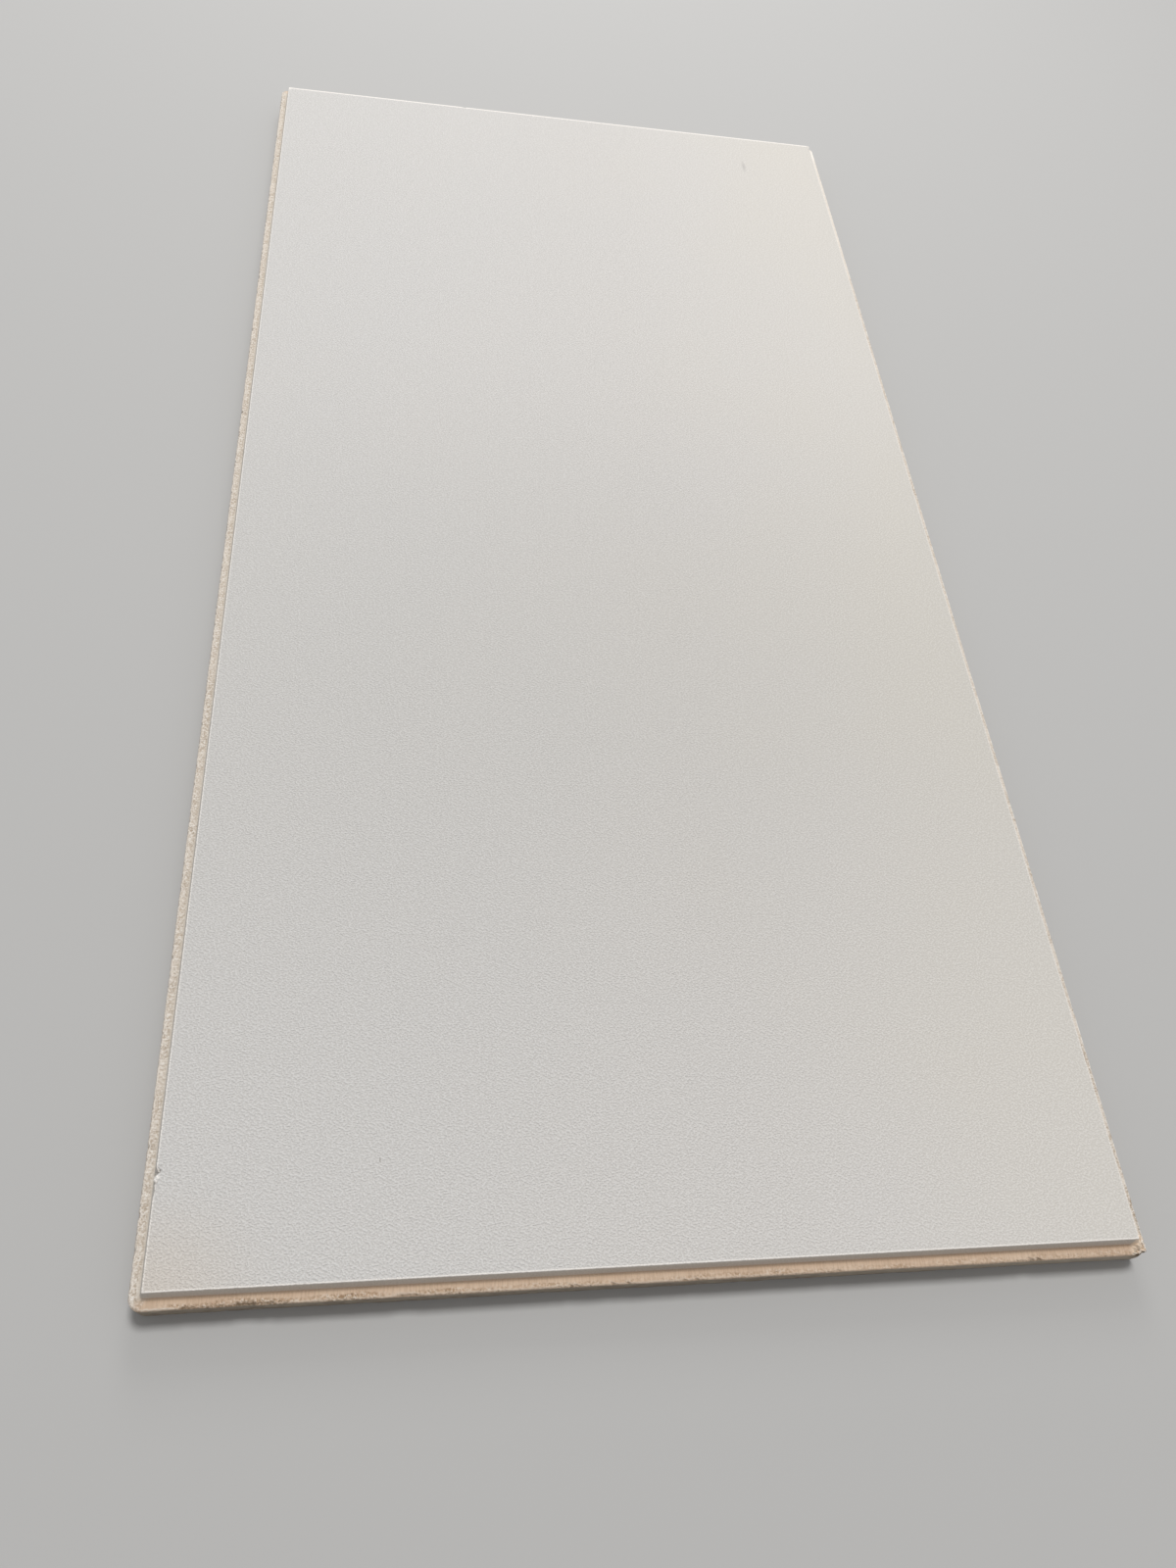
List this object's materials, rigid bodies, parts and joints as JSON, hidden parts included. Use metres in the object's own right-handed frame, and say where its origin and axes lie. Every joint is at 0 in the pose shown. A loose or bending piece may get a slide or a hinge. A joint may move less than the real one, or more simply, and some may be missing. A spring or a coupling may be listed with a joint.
{
  "type": "acoustic ceiling tile",
  "caption": "Rectangular lay-in acoustic ceiling tile of mineral wool, with a stepped edge all round and a sandy painted face.",
  "frame": {"origin": "centre of the back face, at the bottom of the tile as it lies on its back", "axes": "+Z out of the painted face, +Y along the tile, +X across it"},
  "size_m": [0.595, 1.195, 0.028],
  "materials": {
    "painted_mineral_wool": "matt off-white sandy paint on a grey-brown mineral wool board"
  },
  "bodies": {
    "root": {"ceiling_tile": "painted_mineral_wool"}
  },
  "joints": []
}
